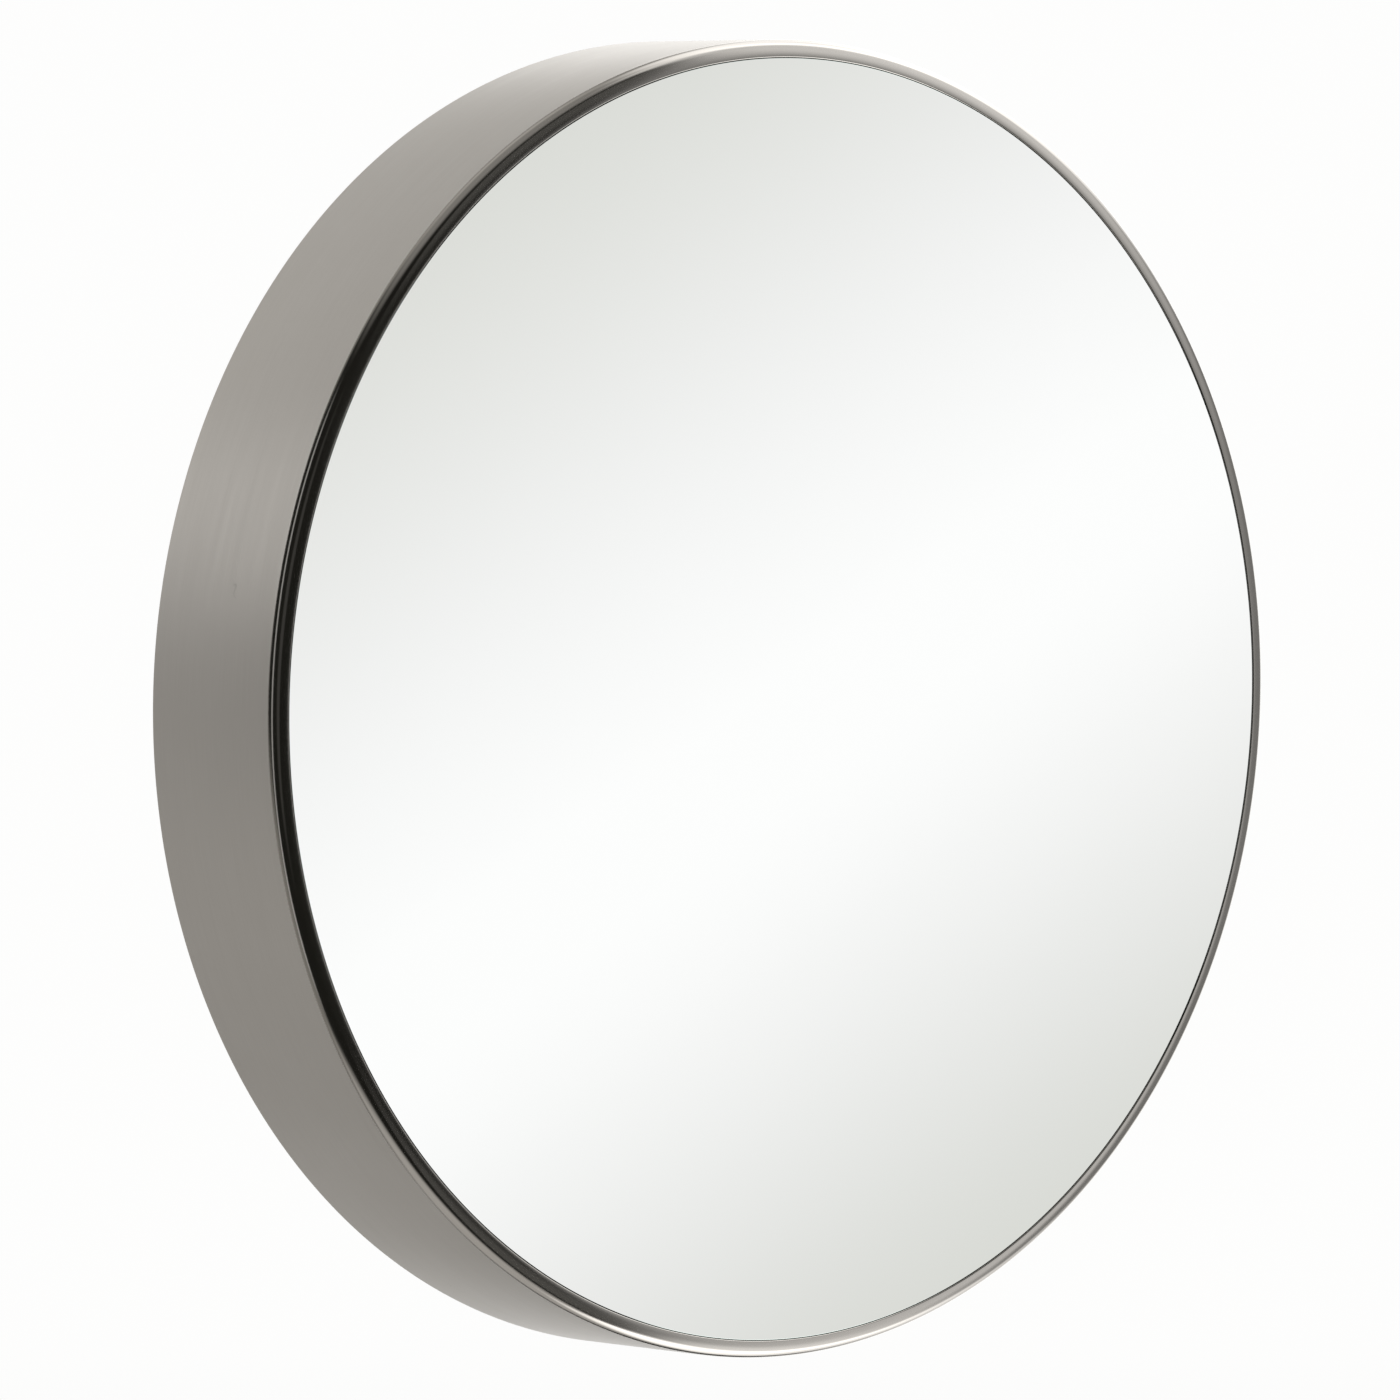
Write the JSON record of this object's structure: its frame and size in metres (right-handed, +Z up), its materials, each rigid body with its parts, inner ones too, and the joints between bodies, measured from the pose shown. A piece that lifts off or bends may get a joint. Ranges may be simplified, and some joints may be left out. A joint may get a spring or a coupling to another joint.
{
  "type": "round deep-frame wall mirror",
  "caption": "Round flat wall mirror in a deep drum frame of brushed stainless steel with a narrow rounded front lip, hung by swinging D-rings.",
  "frame": {"origin": "centre of the wall plane that the rubber feet rest against, on the drum's axis", "axes": "+Z up, the glass faces -Y, +Y points into the wall, +X to the right as seen from the front"},
  "size_m": [0.61, 0.089, 0.61],
  "materials": {
    "satin_steel": "fine satin brushing on the band, brighter on the lip",
    "mirror_glass": "flat silvered float glass with a ground edge",
    "black_rubber": "moulded matt rubber",
    "safety_film": "thin grey polyethylene film",
    "white_foam": "closed-cell foam sheet",
    "raw_board": "bare fibreboard",
    "black_board": "fibreboard painted matt black",
    "pine": "sawn softwood",
    "zinc_screws": "bright zinc plate",
    "zinc_hangers": "bright zinc plate",
    "tab_steel": "plain sheet steel"
  },
  "bodies": {
    "mirror_body": {"frame_shell": "satin_steel", "mirror_glass": "mirror_glass", "edge_seal": "black_rubber", "safety_film": "safety_film", "foam_pad": "white_foam", "front_board": "raw_board", "rear_panel": "black_board", "spacer_block_1": "pine", "spacer_block_2": "pine", "spacer_block_3": "pine", "spacer_block_4": "pine", "spacer_block_5": "pine", "spacer_block_6": "pine", "spacer_block_7": "pine", "spacer_block_8": "pine", "block_screw_1": "zinc_screws", "block_screw_2": "zinc_screws", "block_screw_3": "zinc_screws", "block_screw_4": "zinc_screws", "block_screw_5": "zinc_screws", "block_screw_6": "zinc_screws", "block_screw_7": "zinc_screws", "block_screw_8": "zinc_screws", "bend_tab_1": "tab_steel", "bend_tab_2": "tab_steel", "bend_tab_3": "tab_steel", "bend_tab_4": "tab_steel", "bend_tab_5": "tab_steel", "bend_tab_6": "tab_steel", "bend_tab_7": "tab_steel", "bend_tab_8": "tab_steel", "strap_screw_1": "zinc_screws", "strap_screw_2": "zinc_screws", "strap_screw_3": "zinc_screws", "strap_screw_4": "zinc_screws", "hanger_strap_left": "zinc_hangers", "hanger_strap_right": "zinc_hangers", "rubber_foot_1": "black_rubber", "rubber_foot_2": "black_rubber", "rubber_foot_3": "black_rubber", "rubber_foot_4": "black_rubber"},
    "d_ring_left": {"d_ring_left": "zinc_hangers"},
    "d_ring_right": {"d_ring_right": "zinc_hangers"}
  },
  "joints": [
    {"name": "d_ring_left_swing", "type": "hinge", "parent": "mirror_body", "child": "d_ring_left", "pos_m": [-0.18, -0.0064, 0.19], "axis": [1, 0, 0], "range_deg": [0, 184]},
    {"name": "d_ring_right_swing", "type": "hinge", "parent": "mirror_body", "child": "d_ring_right", "pos_m": [0.18, -0.0064, 0.19], "axis": [1, 0, 0], "range_deg": [0, 184]}
  ]
}
